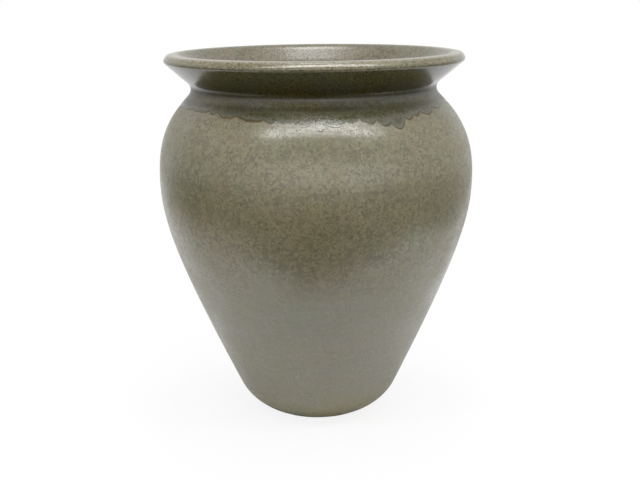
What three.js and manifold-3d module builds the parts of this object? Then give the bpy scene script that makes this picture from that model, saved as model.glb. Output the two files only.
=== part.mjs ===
// A wide-mouthed stoneware vase with a bevelled lip, thrown in one piece and glazed in three coats.
// Millimetres, +Z up, origin at the middle of the face that it stands on.
// The clay's outline is drawn once, from the foot over the lip and down to the floor inside.
// Each coat of glaze is a skin laid on that outline, and the last coat ends in a run, wavy edge.
import * as THREE from "three";
import { mergeVertices } from "three/addons/utils/BufferGeometryUtils.js";
import Module from "manifold-3d";

// Foot: a flat ring round a shallow recess, and the turn that leads out and up from it into the wall
const footRadius = 42;
const footRingWidth = 13;
const footRecessDepth = 4;
const footRecessSlope = 4;
const footFlare = 35;
const footTurnHeight = 28.5;

// Clay: the widest place, the wall and the floor
const bellyRadius = 148.6;
const bellyHeight = 236;
const wallThickness = 11.5;
const floorThickness = 14;
const floorTurn = 18;

// Neck: the shoulder draws in and the mouth flares out from one corner above the belly, which a round replaces
const neckRise = 81.9;
const neckInset = 38.8;
const neckRound = 10.3;
const mouthFlare = 29.3;

// Lip: the mouth's slope ends in a rounded nose, and a bevel leads back from there to the crest, which turns over
// into the mouth
const lipNoseRound = 2;
const lipBevelRise = 3.63;
const lipCrestWidth = 4.5;
const lipInnerTurn = 6;

// Slopes, measured from straight out
const level = 0;
const upright = Math.PI / 2;
const wallLean = THREE.MathUtils.degToRad(65);
const shoulderSlope = THREE.MathUtils.degToRad(135);
const mouthSlope = THREE.MathUtils.degToRad(42.1);

// How far each curve of the outline runs on at its start and its end before it bends, as shares of its span
const footCurveShares = [0.07, 0.5];
const wallCurveShares = [0.683, 0.174];
const shoulderCurveShares = [0.485, 0.287];

// Glaze: the coats' thickness, the seam between one layer and the next, and where each coat ends
const coatThickness = 0.7;
const seam = 0.3;
const bareFootHeight = 2;
const dipInside = 24;
const shortestRun = 13.6;
const longestRun = 27.4;
const cutOverrun = 2;

// The run edge from the left side round the front to the right side, lobe by lobe. Each lobe has the share of
// that half turn where it ends, then how far its belly and its closing cusp hang, as shares of the way from the
// shortest run to the longest one.
const runLobeShares = [
  { end: 0.08, belly: 0.18, cusp: 0.06 },
  { end: 0.165, belly: 0.19, cusp: 0.07 },
  { end: 0.24, belly: 0.17, cusp: 0.06 },
  { end: 0.267, belly: 0.19, cusp: 0.02 },
  { end: 0.325, belly: 0.34, cusp: 0.14 },
  { end: 0.395, belly: 0.43, cusp: 0.32 },
  { end: 0.422, belly: 0.53, cusp: 0.36 },
  { end: 0.456, belly: 0.54, cusp: 0.43 },
  { end: 0.5, belly: 0.69, cusp: 0.41 },
  { end: 0.523, belly: 0.93, cusp: 0.51 },
  { end: 0.567, belly: 0.72, cusp: 0.46 },
  { end: 0.595, belly: 0.56, cusp: 0.26 },
  { end: 0.632, belly: 0.63, cusp: 0.44 },
  { end: 0.666, belly: 0.79, cusp: 0.6 },
  { end: 0.705, belly: 1, cusp: 0.38 },
  { end: 0.733, belly: 0.56, cusp: 0.3 },
  { end: 0.761, belly: 0.4, cusp: 0.17 },
  { end: 0.816, belly: 0.42, cusp: 0.06 },
  { end: 0.878, belly: 0.2, cusp: 0 },
  { end: 1, belly: 0.12, cusp: 0.04 },
];
const lobeRoundness = 0.6;

// Facets
const columns = 44;
const hemColumns = 4 * columns;
const turnSteps = 3;
const wallSteps = 5;
const shoulderSteps = 4;
const neckSteps = 3;
const noseSteps = 3;
const crestSteps = 2;

const at = (radius, height) => new THREE.Vector2(radius, height);
const heading = (angle, length) => at(length * Math.cos(angle), length * Math.sin(angle));

// Points along a curve, without its first point when it goes on from another curve
const carryOn = (curve, steps) => curve.getPoints(steps).slice(1);

// A curve that leaves its start and reaches its end at the given slopes
function sweep(start, leaving, end, reaching, [leavingShare, reachingShare]) {
  const span = start.distanceTo(end);
  return new THREE.CubicBezierCurve(
    start,
    start.clone().add(heading(leaving, leavingShare * span)),
    end.clone().sub(heading(reaching, reachingShare * span)),
    end,
  );
}

// The places where the outside's curves meet
const footEdge = at(footRadius, 0);
const wallStart = at(footRadius + footFlare, footTurnHeight);
const belly = at(bellyRadius, bellyHeight);
const neckCorner = at(bellyRadius - neckInset, bellyHeight + neckRise);
const shoulderEnd = neckCorner.clone().sub(heading(shoulderSlope, neckRound));
const mouthStart = neckCorner.clone().add(heading(mouthSlope, neckRound));
const noseCorner = neckCorner.clone().add(at(mouthFlare, mouthFlare * Math.tan(mouthSlope)));
const noseStart = noseCorner.clone().sub(heading(mouthSlope, lipNoseRound));

// The outside, from the foot ring's outer edge to where the lip's nose begins
function outside() {
  return [
    ...sweep(footEdge, level, wallStart, wallLean, footCurveShares).getPoints(turnSteps),
    ...carryOn(sweep(wallStart, wallLean, belly, upright, wallCurveShares), wallSteps),
    ...carryOn(sweep(belly, upright, shoulderEnd, shoulderSlope, shoulderCurveShares), shoulderSteps),
    ...carryOn(new THREE.QuadraticBezierCurve(shoulderEnd, neckCorner, mouthStart), neckSteps),
    noseStart,
  ];
}

// The lip, from under its nose over the crest to the mouth's inner slope
const clayHeight = noseCorner.y + lipBevelRise;
const innerSlopeCorner = neckCorner.clone().sub(at(wallThickness / Math.sin(mouthSlope), 0));
const innerRise = clayHeight - innerSlopeCorner.y;
const innerTurnCorner = innerSlopeCorner.clone().add(at(innerRise / Math.tan(mouthSlope), innerRise));
const crest = innerTurnCorner.clone().add(at(lipCrestWidth, 0));

function lip() {
  const bevel = crest.clone().sub(noseCorner);
  const noseEnd = noseCorner.clone().add(bevel.setLength(lipNoseRound));
  const innerTurnEnd = innerTurnCorner.clone().sub(heading(mouthSlope, lipInnerTurn));
  return [
    ...carryOn(new THREE.QuadraticBezierCurve(noseStart, noseCorner, noseEnd), noseSteps),
    ...new THREE.QuadraticBezierCurve(crest, innerTurnCorner, innerTurnEnd).getPoints(crestSteps),
  ];
}

// The inside follows the outside at the wall's thickness, and turns into the floor
const floorHeight = footRecessDepth + floorThickness;

function inside() {
  const followed = stations(outside())
    .slice(turnSteps, -1)
    .map(({ point, outward }) => point.clone().addScaledVector(outward, -wallThickness))
    .reverse();
  const wallFoot = followed.at(-1);
  const turnCorner = at(wallFoot.x - (wallFoot.y - floorHeight) / Math.tan(wallLean), floorHeight);
  const floorEdge = turnCorner.clone().sub(at(floorTurn, 0));
  return [...followed, ...carryOn(new THREE.QuadraticBezierCurve(wallFoot, turnCorner, floorEdge), turnSteps)];
}

// A station is a point of the clay's surface with the direction that leads out of the clay there
function stations(points) {
  return points.map((point, i) => {
    const before = points[Math.max(i - 1, 0)];
    const after = points[Math.min(i + 1, points.length - 1)];
    const arriving = point.clone().sub(before).normalize();
    const leaving = after.clone().sub(point).normalize();
    const along = arriving.add(leaving).normalize();
    return { point, outward: at(along.y, -along.x) };
  });
}

const outsidePoints = outside();
const outline = stations([...outsidePoints, ...lip(), ...inside()]);
const crestIndex = outsidePoints.length + noseSteps;
const rising = outline.slice(0, crestIndex + 1);
const falling = outline.slice(crestIndex);

function between(a, b, share) {
  return {
    point: a.point.clone().lerp(b.point, share),
    outward: a.outward.clone().lerp(b.outward, share).normalize(),
  };
}

// The station where the rising outside or the falling inside crosses a height
function crossing(side, height) {
  const above = ({ point }) => point.y > height;
  const next = side.findIndex((station, i) => i > 0 && above(station) !== above(side[i - 1]));
  const [a, b] = [side[next - 1], side[next]];
  return between(a, b, (height - a.point.y) / (b.point.y - a.point.y));
}

const lifted = ({ point, outward }, lift) => point.clone().addScaledVector(outward, lift);

function turned(points) {
  return new THREE.LatheGeometry(points, columns).rotateX(Math.PI / 2);
}

// A coat of glaze over a stretch of stations, as far from the clay as it lies
function coat(stretch, lift) {
  const under = stretch.map((station) => lifted(station, lift)).reverse();
  const over = stretch.map((station) => lifted(station, lift + coatThickness));
  return turned([...under, ...over, under[0]]);
}

function stonewareBody() {
  const ringInner = footRadius - footRingWidth;
  const foot = [at(0, footRecessDepth), at(ringInner - footRecessSlope, footRecessDepth), at(ringInner, 0)];
  return turned([...foot, ...outline.map(({ point }) => point), at(0, floorHeight)]);
}

// The first coat on the outside, from the bare foot up to the crest, under the last coat
function bodyGlaze() {
  const start = crossing(rising, bareFootHeight);
  return coat([start, ...rising.filter(({ point }) => point.y > bareFootHeight)], seam);
}

// The coat poured inside, from the crest down and over the floor, with a seam to the first coat
function linerGlaze() {
  const [crestStation, ...stretch] = falling;
  const start = between(crestStation, stretch[0], seam / crestStation.point.distanceTo(stretch[0].point));
  const floorMiddle = { point: at(0, floorHeight), outward: at(0, 1) };
  return coat([start, ...stretch, floorMiddle], seam);
}

// How far the last coat has run down the shoulder from the neck, at an angle from the front
function runAt(angle) {
  const folded = Math.abs(angle) > Math.PI / 2 ? Math.sign(angle) * Math.PI - angle : angle;
  const place = folded / Math.PI + 1 / 2;
  const found = runLobeShares.findIndex(({ end }) => place <= end);
  const index = found < 0 ? runLobeShares.length - 1 : found;
  const before = runLobeShares.at(index - 1);
  const lobe = runLobeShares[index];
  const start = index > 0 ? before.end : 0;
  const across = THREE.MathUtils.clamp((place - start) / (lobe.end - start), 0, 1);
  const cusps = THREE.MathUtils.lerp(before.cusp, lobe.cusp, across);
  const middle = (before.cusp + lobe.cusp) / 2;
  const hang = cusps + (lobe.belly - middle) * Math.sin(Math.PI * across) ** lobeRoundness;
  return THREE.MathUtils.lerp(shortestRun, longestRun, hang);
}

// A closed ring solid whose section may change with the angle from the front
function ringSolid(sectionAt) {
  const sections = Array.from({ length: hemColumns }, (_, i) => {
    const angle = -Math.PI + (2 * Math.PI * i) / hemColumns;
    const place = ({ x: radius, y: height }) => [radius * Math.sin(angle), -radius * Math.cos(angle), height];
    return sectionAt(angle).map(place);
  });
  const corners = sections[0].length;
  const corner = (column, i) => (column % hemColumns) * corners + (i % corners);
  const index = sections.flatMap((section, column) =>
    section.flatMap((_, i) => [
      corner(column, i), corner(column + 1, i), corner(column + 1, i + 1),
      corner(column, i), corner(column + 1, i + 1), corner(column, i + 1),
    ]),
  );
  const geometry = new THREE.BufferGeometry();
  geometry.setAttribute("position", new THREE.Float32BufferAttribute(sections.flat(2), 3));
  geometry.setIndex(index);
  return geometry;
}

// What the last coat leaves bare: all that lies below its run edge, cut square to the clay
function belowRunEdge() {
  const outermost = 2 * (seam + coatThickness) + cutOverrun;
  const low = neckCorner.y - longestRun - 2 * cutOverrun;
  return ringSolid((angle) => {
    const edge = crossing(rising, neckCorner.y - runAt(angle));
    const inner = lifted(edge, -cutOverrun);
    return [inner, at(inner.x, low), at(bellyRadius + cutOverrun, low), lifted(edge, outermost)];
  });
}

const wasm = await Module();
wasm.setup();

function solid(geometry) {
  const bare = new THREE.BufferGeometry();
  bare.setAttribute("position", geometry.getAttribute("position"));
  bare.setIndex(geometry.getIndex());
  const merged = mergeVertices(bare);
  const vertProperties = merged.getAttribute("position").array;
  const triVerts = new Uint32Array(merged.getIndex().array);
  return new wasm.Manifold(new wasm.Mesh({ numProp: 3, vertProperties, triVerts }));
}

function geometryOf(manifold) {
  const { vertProperties, triVerts } = manifold.getMesh();
  const geometry = new THREE.BufferGeometry();
  geometry.setAttribute("position", new THREE.BufferAttribute(vertProperties, 3));
  geometry.setIndex(new THREE.BufferAttribute(triVerts, 1));
  geometry.computeVertexNormals();
  return geometry;
}

// The last coat, dipped mouth down: it starts inside, goes over the lip and ends in the run edge
function collarGlaze() {
  const endOutside = crossing(rising, neckCorner.y - longestRun - cutOverrun);
  const endInside = crossing(falling, clayHeight - dipInside);
  const stretch = [
    endOutside,
    ...rising.filter(({ point }) => point.y > endOutside.point.y),
    ...falling.slice(1).filter(({ point }) => point.y > endInside.point.y),
    endInside,
  ];
  const whole = solid(coat(stretch, coatThickness + 2 * seam));
  return geometryOf(whole.subtract(solid(belowRunEdge())));
}

function piece(name, geometry, { color, roughness }) {
  const mesh = new THREE.Mesh(geometry, new THREE.MeshStandardMaterial({ color, roughness, metalness: 0 }));
  mesh.name = name;
  return mesh;
}

const bareClay = { color: "#80694e", roughness: 0.9 };
const satinOlive = { color: "#7f7d69", roughness: 0.42 };
const satinLiner = { color: "#87836c", roughness: 0.4 };
const glossyOlive = { color: "#66634f", roughness: 0.25 };

const vase = new THREE.Group();
vase.add(
  piece("stoneware_body", stonewareBody(), bareClay),
  piece("body_glaze", bodyGlaze(), satinOlive),
  piece("liner_glaze", linerGlaze(), satinLiner),
  piece("collar_glaze", collarGlaze(), glossyOlive),
);

export default vase;
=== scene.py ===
"""The looks of a wide-mouthed stoneware vase, thrown in one piece and glazed in three coats.

The clay's outline is drawn once, from the foot over the lip and down to the floor inside. Every piece is turned on
it: the clay, the satin coat over the outside, the coat poured inside, and the darker coat that ran down from the
neck. Sizes are in metres and angles in radians. The origin is the middle of the face that the vase stands on, +Z is
up and the camera looks along +Y. An angle round the vase starts at the front and grows towards +X.
"""

import logging
import math
from dataclasses import astuple, dataclass, field
from enum import Enum

import bpy
import numpy as np
from mathutils import Euler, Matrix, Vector


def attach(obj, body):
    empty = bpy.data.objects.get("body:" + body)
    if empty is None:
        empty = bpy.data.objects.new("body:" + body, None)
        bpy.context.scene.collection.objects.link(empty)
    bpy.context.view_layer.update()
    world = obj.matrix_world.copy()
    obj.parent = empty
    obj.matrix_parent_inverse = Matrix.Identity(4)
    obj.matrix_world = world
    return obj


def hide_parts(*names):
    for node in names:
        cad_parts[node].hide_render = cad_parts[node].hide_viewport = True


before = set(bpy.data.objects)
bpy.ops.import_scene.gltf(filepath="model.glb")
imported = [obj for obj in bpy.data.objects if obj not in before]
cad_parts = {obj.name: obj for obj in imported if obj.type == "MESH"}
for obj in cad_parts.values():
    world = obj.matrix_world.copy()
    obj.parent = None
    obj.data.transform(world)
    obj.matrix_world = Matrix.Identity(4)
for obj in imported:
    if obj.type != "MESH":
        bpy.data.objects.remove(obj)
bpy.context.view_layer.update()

LOG = logging.getLogger("vase")

Colour = tuple[float, float, float]
Socket = bpy.types.NodeSocket

LEVEL = 0.0
UPRIGHT = math.pi / 2
FULL_TURN = 2 * math.pi
MILLIMETRE = 1e-3
TINY = 1e-7
NO_EDGE_NEAR = 1.0
WHITE = (1.0, 1.0, 1.0)
FLATTENED = (1.0, 1.0, 0.0)


def heading(angle: float, length: float) -> np.ndarray:
    """Returns the step of a length at an angle, as radius and height."""
    return length * np.array((math.cos(angle), math.sin(angle)))


def quadratic(start: np.ndarray, corner: np.ndarray, end: np.ndarray, steps: int) -> np.ndarray:
    """Draws a round that replaces a corner.

    Args:
        start: Where the round starts, as radius and height.
        corner: The corner that it replaces.
        end: Where it ends.
        steps: How many steps it has.

    Returns:
        Its points, without the first.
    """
    t = np.linspace(0, 1, steps + 1)[1:, None]
    return (1 - t) ** 2 * start + 2 * t * (1 - t) * corner + t**2 * end


def sweep(
    start: np.ndarray, leaving: float, end: np.ndarray, reaching: float, shares: tuple[float, float], steps: int
) -> np.ndarray:
    """Draws a curve that leaves its start and reaches its end at given slopes.

    Args:
        start: Where the curve starts, as radius and height.
        leaving: The slope that it leaves at.
        end: Where it ends.
        reaching: The slope that it reaches its end at.
        shares: How far it runs on at each end before it bends, as shares of its span.
        steps: How many steps it has.

    Returns:
        Its points, without the first.
    """
    span = float(np.linalg.norm(end - start))
    after = start + heading(leaving, shares[0] * span)
    before = end - heading(reaching, shares[1] * span)
    t = np.linspace(0, 1, steps + 1)[1:, None]
    return (1 - t) ** 3 * start + 3 * t * (1 - t) ** 2 * after + 3 * t**2 * (1 - t) * before + t**3 * end


def smooth_step(value: np.ndarray) -> np.ndarray:
    """Returns values eased from 0 to 1."""
    share = np.clip(value, 0, 1)
    return share * share * (3 - 2 * share)


@dataclass(frozen=True)
class ClayForm:
    """The clay's driving sizes and the outline that they draw. They are those of the frame's solids, but for a
    rounder lip, a softer neck and a mouth that slopes a little less."""

    foot_radius: float = 0.042
    foot_ring_width: float = 0.013
    foot_recess_depth: float = 0.004
    foot_recess_slope: float = 0.004
    foot_flare: float = 0.035
    foot_turn_height: float = 0.0285
    belly_radius: float = 0.1486
    belly_height: float = 0.236
    wall_thickness: float = 0.0115
    floor_thickness: float = 0.014
    floor_turn: float = 0.018
    neck_rise: float = 0.0819
    neck_inset: float = 0.0388
    neck_round: float = 0.013
    mouth_flare: float = 0.0298
    lip_nose_round: float = 0.0011
    lip_face_length: float = 0.0048
    lip_brow_round: float = 0.001
    lip_rise: float = 0.00429
    lip_crest_width: float = 0.004
    lip_inner_turn: float = 0.006
    wall_lean: float = math.radians(65)
    shoulder_slope: float = math.radians(135)
    mouth_slope: float = math.radians(40.9)
    lip_face_slope: float = math.radians(124)
    foot_curve_shares: tuple[float, float] = (0.07, 0.5)
    wall_curve_shares: tuple[float, float] = (0.683, 0.174)
    shoulder_curve_shares: tuple[float, float] = (0.485, 0.287)
    curve_steps: int = 160
    round_steps: int = 24

    @property
    def neck_corner(self) -> np.ndarray:
        """The corner that the shoulder and the mouth slope towards."""
        return np.array((self.belly_radius - self.neck_inset, self.belly_height + self.neck_rise))

    @property
    def nose_corner(self) -> np.ndarray:
        """The corner in which the mouth's slope ends, which the lip's nose rounds off."""
        return self.neck_corner + np.array((self.mouth_flare, self.mouth_flare * math.tan(self.mouth_slope)))

    @property
    def nose_start(self) -> np.ndarray:
        """Where the nose's round begins on the mouth's slope."""
        return self.nose_corner - heading(self.mouth_slope, self.lip_nose_round)

    @property
    def height(self) -> float:
        """The clay's whole height."""
        return float(self.nose_corner[1]) + self.lip_rise

    @property
    def floor_height(self) -> float:
        """The height of the floor inside."""
        return self.foot_recess_depth + self.floor_thickness

    @property
    def inner_turn_corner(self) -> np.ndarray:
        """Finds the corner where the crest turns over into the mouth's inner slope.

        Returns:
            The corner, as radius and height.
        """
        rise = self.height - float(self.neck_corner[1])
        step_in = self.wall_thickness / math.sin(self.mouth_slope)
        return self.neck_corner + np.array((rise / math.tan(self.mouth_slope) - step_in, rise))

    @property
    def crest(self) -> np.ndarray:
        """The highest point of the outline, where the outside ends and the inside starts."""
        return self.inner_turn_corner + np.array((self.lip_crest_width, 0))

    def outside(self) -> np.ndarray:
        """Draws the outside.

        Returns:
            Its points, from the foot ring's outer edge to where the lip's nose begins.
        """
        foot_edge = np.array((self.foot_radius, 0.0))
        wall_start = np.array((self.foot_radius + self.foot_flare, self.foot_turn_height))
        belly = np.array((self.belly_radius, self.belly_height))
        shoulder_end = self.neck_corner - heading(self.shoulder_slope, self.neck_round)
        mouth_start = self.neck_corner + heading(self.mouth_slope, self.neck_round)
        steps = self.curve_steps
        return np.vstack((
            foot_edge,
            sweep(foot_edge, LEVEL, wall_start, self.wall_lean, self.foot_curve_shares, steps),
            sweep(wall_start, self.wall_lean, belly, UPRIGHT, self.wall_curve_shares, 2 * steps),
            sweep(belly, UPRIGHT, shoulder_end, self.shoulder_slope, self.shoulder_curve_shares, steps),
            quadratic(shoulder_end, self.neck_corner, mouth_start, self.round_steps),
            np.linspace(mouth_start, self.nose_start, self.round_steps + 1)[1:],
        ))

    def lip(self) -> np.ndarray:
        """Draws the lip.

        Returns:
            Its points, from its rounded nose up its face and over its brow to the crest.
        """
        brow_corner = self.nose_corner + heading(self.lip_face_slope, self.lip_face_length)
        face_start = self.nose_corner + heading(self.lip_face_slope, self.lip_nose_round)
        face_end = brow_corner - heading(self.lip_face_slope, self.lip_brow_round)
        return np.vstack((
            quadratic(self.nose_start, self.nose_corner, face_start, self.round_steps),
            np.linspace(face_start, face_end, self.round_steps + 1)[1:],
            quadratic(face_end, brow_corner, self.crest, self.round_steps),
        ))

    def inside(self) -> np.ndarray:
        """Draws the inside.

        Returns:
            Its points, from the crest into the mouth, down the inner wall and in to the axis.
        """
        turn_end = self.inner_turn_corner - heading(self.mouth_slope, self.lip_inner_turn)
        followed = Stations.of(self.outside()[self.curve_steps :])
        wall = followed.lifted(followed.ways, -self.wall_thickness)[::-1]
        wall = wall[wall[:, 1] < turn_end[1]]
        foot = wall[-1]
        slope_in = (foot[1] - self.floor_height) / math.tan(self.wall_lean)
        corner = np.array((foot[0] - slope_in, self.floor_height))
        floor_edge = corner - np.array((self.floor_turn, 0))
        floor_middle = np.array((0.0, self.floor_height))
        return np.vstack((
            quadratic(self.crest, self.inner_turn_corner, turn_end, self.round_steps),
            wall,
            quadratic(foot, corner, floor_edge, self.round_steps),
            np.linspace(floor_edge, floor_middle, self.round_steps + 1)[1:],
        ))

    def rising(self) -> "Stations":
        """Returns the outline from the foot's edge up to the crest."""
        return Stations.of(np.vstack((self.outside(), self.lip())))

    def falling(self) -> "Stations":
        """Returns the outline from the crest down to the middle of the floor inside."""
        return Stations.of(np.vstack((self.crest, self.inside())))


@dataclass(frozen=True)
class Stations:
    """A stretch of the clay's outline that is measured along its way, with the directions that lead out of it."""

    ways: np.ndarray
    points: np.ndarray
    outward: np.ndarray

    SPACING = 0.00025
    SOFTNESS = 0.0006
    SOFT_REACH = 3

    @classmethod
    def of(cls, points: np.ndarray) -> "Stations":
        """Measures an outline and works out its directions, softened as glaze softens a sharp corner.

        Args:
            points: The outline, as rows of radius and height.

        Returns:
            The stretch, at even spacing.
        """
        lengths = np.linalg.norm(np.diff(points, axis=0), axis=1)
        points = points[np.concatenate(([True], lengths > TINY))]
        lengths = lengths[lengths > TINY]
        measured = np.concatenate(([0], np.cumsum(lengths)))
        ways = np.linspace(0, measured[-1], int(measured[-1] / cls.SPACING) + 1)
        even = np.stack([np.interp(ways, measured, points[:, axis]) for axis in range(2)], axis=1)
        along = np.gradient(even, ways, axis=0)
        reach = int(cls.SOFT_REACH * cls.SOFTNESS / cls.SPACING)
        kernel = np.exp(-0.5 * (np.arange(-reach, reach + 1) * cls.SPACING / cls.SOFTNESS) ** 2)
        padded = np.pad(along, ((reach, reach), (0, 0)), mode="edge")
        soft = np.stack([np.convolve(padded[:, axis], kernel, mode="valid") for axis in range(2)], axis=1)
        soft /= np.linalg.norm(soft, axis=1, keepdims=True)
        return cls(ways, even, np.stack((soft[:, 1], -soft[:, 0]), axis=1))

    @property
    def length(self) -> float:
        """How long the way is."""
        return float(self.ways[-1])

    def lifted(self, ways: np.ndarray, lift: np.ndarray | float) -> np.ndarray:
        """Finds points off the clay's surface.

        Args:
            ways: How far along the stretch each point lies.
            lift: How far out of the clay each lies.

        Returns:
            The points, as radius and height on a last axis of two.
        """
        place = np.stack([np.interp(ways, self.ways, self.points[:, axis]) for axis in range(2)], axis=-1)
        out = np.stack([np.interp(ways, self.ways, self.outward[:, axis]) for axis in range(2)], axis=-1)
        return place + out * np.asarray(lift)[..., None]

    def way_at(self, height: np.ndarray | float) -> np.ndarray:
        """Finds how far along the stretch a height is first reached.

        Args:
            height: The height or heights, in metres.

        Returns:
            The way or ways to them.
        """
        heights = self.points[:, 1]
        turning = int(np.argmax(heights)) + 1 if heights[-1] > heights[0] else len(heights)
        heights, ways = heights[:turning], self.ways[:turning]
        order = np.argsort(heights, kind="stable")
        return np.interp(height, heights[order], ways[order])


@dataclass(frozen=True)
class Lobe:
    """One lobe of the run edge: where it ends, as a share of the half turn from the left side round the front to
    the right side, and how far its belly and its closing cusp hang, as shares of the way from the shortest run to
    the longest one."""

    end_share: float
    belly_share: float
    cusp_share: float


@dataclass(frozen=True)
class RunEdge:
    """The wavy edge in which the last coat ends on the shoulder, the same at the back as at the front."""

    shortest_run: float = 0.0136
    longest_run: float = 0.0274
    lobe_roundness: float = 0.6
    lobes: tuple[Lobe, ...] = (
        Lobe(0.08, 0.18, 0.06), Lobe(0.165, 0.19, 0.07), Lobe(0.24, 0.17, 0.06), Lobe(0.267, 0.19, 0.02),
        Lobe(0.325, 0.34, 0.14), Lobe(0.395, 0.43, 0.32), Lobe(0.422, 0.53, 0.36), Lobe(0.456, 0.54, 0.43),
        Lobe(0.5, 0.69, 0.41), Lobe(0.523, 0.93, 0.51), Lobe(0.567, 0.72, 0.46), Lobe(0.595, 0.56, 0.26),
        Lobe(0.632, 0.63, 0.44), Lobe(0.666, 0.79, 0.6), Lobe(0.705, 1.0, 0.38), Lobe(0.733, 0.56, 0.3),
        Lobe(0.761, 0.4, 0.17), Lobe(0.816, 0.42, 0.06), Lobe(0.878, 0.2, 0.0), Lobe(1.0, 0.12, 0.04),
    )
    ripple_depth: float = 0.00035
    ripple_counts: tuple[int, ...] = (61, 97, 143)

    def drop(self, angles: np.ndarray) -> np.ndarray:
        """Works out how far the coat has run down below the neck.

        Args:
            angles: The angles round the vase.

        Returns:
            The drops at those angles.
        """
        folded = np.where(np.abs(angles) > UPRIGHT, np.sign(angles) * math.pi - angles, angles)
        place = folded / math.pi + 0.5
        ends = np.array([lobe.end_share for lobe in self.lobes])
        bellies = np.array([lobe.belly_share for lobe in self.lobes])
        cusps = np.array([lobe.cusp_share for lobe in self.lobes])
        index = np.clip(np.searchsorted(ends, place), 0, len(ends) - 1)
        starts = np.concatenate(([0], ends[:-1]))
        across = np.clip((place - starts[index]) / (ends - starts)[index], 0, 1)
        before, after = cusps[index - 1], cusps[index]
        swell = np.sin(math.pi * across) ** self.lobe_roundness
        hang = before + (after - before) * across + (bellies[index] - (before + after) / 2) * swell
        ripple = sum(np.sin(count * angles + count) for count in self.ripple_counts) / len(self.ripple_counts)
        return self.shortest_run + (self.longest_run - self.shortest_run) * hang + self.ripple_depth * ripple


@dataclass(frozen=True)
class Ripple:
    """A small wave round the vase: how deep it is, and the count, share and phase of each even wave in it."""

    depth: float
    waves: tuple[tuple[int, float, float], ...]

    def at(self, angles: np.ndarray) -> np.ndarray:
        """Returns the wave's height at each angle."""
        return self.depth * sum(share * np.sin(count * angles + phase) for count, share, phase in self.waves)


@dataclass(frozen=True)
class ThrowingMarks:
    """Shallow grooves that the fingers leave as a spiral on a thrown wall. Towards an edge or the axis they fade out
    over their reach."""

    pitch: float
    depth: float
    turns_in: int = 1
    reach: float = 0.006
    coarse_ratio: float = 0.37
    wander: float = 0.6
    fine_share: float = 0.35
    coarse_share: float = 0.15

    def lift(self, ways: np.ndarray, angles: np.ndarray) -> np.ndarray:
        """Works out how deep the grooves are.

        Args:
            ways: How far along the outline each point lies.
            angles: The angle of each point round the vase.

        Returns:
            The lifts, none above nil, so that the piece keeps its overall size.
        """
        phase = FULL_TURN * ways / self.pitch - self.turns_in * angles
        fine = np.sin(phase + self.wander * np.sin(self.coarse_ratio * phase))
        coarse = np.sin(self.coarse_ratio * FULL_TURN * ways / self.pitch)
        level = self.fine_share + self.coarse_share
        return -self.depth * (level - self.fine_share * fine - self.coarse_share * coarse)

    def faded(self, ways: np.ndarray, angles: np.ndarray, distance: np.ndarray) -> np.ndarray:
        """Works out how deep the grooves are where they fade out.

        Args:
            ways: How far along the outline each point lies.
            angles: The angle of each point round the vase.
            distance: How far each point lies from the edge or the axis.

        Returns:
            The lifts, none above nil.
        """
        return self.lift(ways, angles) * smooth_step(distance / self.reach)


@dataclass(frozen=True)
class CoatEdge:
    """The rounded edge in which a coat of glaze ends, with the bead that gathers along it."""

    rounding: float = 0.0007
    bead_width: float = 0.0016
    bead_height: float = 0.00016
    edge_thickness: float = 0.0005
    full_distance: float = 0.02

    def thickness(self, distance: np.ndarray, full: float) -> np.ndarray:
        """Works out how thick the coat is.

        Args:
            distance: How far from the edge each point lies.
            full: The coat's full thickness.

        Returns:
            The thicknesses there.
        """
        near = np.clip(distance / self.rounding, 0, 1)
        rise = np.sqrt(np.clip(1 - (1 - near) ** 2, 0, 1))
        body = self.edge_thickness + (full - self.edge_thickness) * smooth_step(distance / self.full_distance)
        bead = self.bead_height * np.exp(-((distance / self.bead_width - 1) ** 2))
        return (body + bead) * rise


@dataclass(frozen=True)
class NeckLean:
    """How far the thrown neck stands off the foot's axis: a little to the left, and the lip hardly at all."""

    heights: tuple[float, ...] = (0.0, 0.25, 0.29, 0.312, 0.325, 0.35)
    steps_aside: tuple[float, ...] = (0.0, 0.0, -0.0009, -0.0015, -0.0013, -0.0002)
    softness: float = 0.006
    samples: int = 9

    def aside(self, height: np.ndarray) -> np.ndarray:
        """Works out how far the vase stands off its axis.

        Args:
            height: The height of each point.

        Returns:
            How far each stands off, towards +X, softened over the heights near it.
        """
        reach = np.linspace(-1, 1, self.samples)[:, None]
        around = np.interp(height[None] + reach * self.softness, self.heights, self.steps_aside)
        return around.mean(axis=0)


class Trait(Enum):
    """What the pieces' points carry for the materials."""

    EDGE_DISTANCE = "edge_distance"
    RUN_DISTANCE = "run_distance"
    NOSE_DISTANCE = "nose_distance"


def ring_angles(columns: int) -> np.ndarray:
    """Returns the angles of a ring's columns, from the back round the left side, front and right side."""
    return -math.pi + FULL_TURN * np.arange(columns) / columns


def even_ways(start: float, end: float, spacing: float) -> np.ndarray:
    """Returns ways from start to end at about the given spacing."""
    return np.linspace(start, end, max(2, int(round(abs(end - start) / spacing)) + 1))


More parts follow.
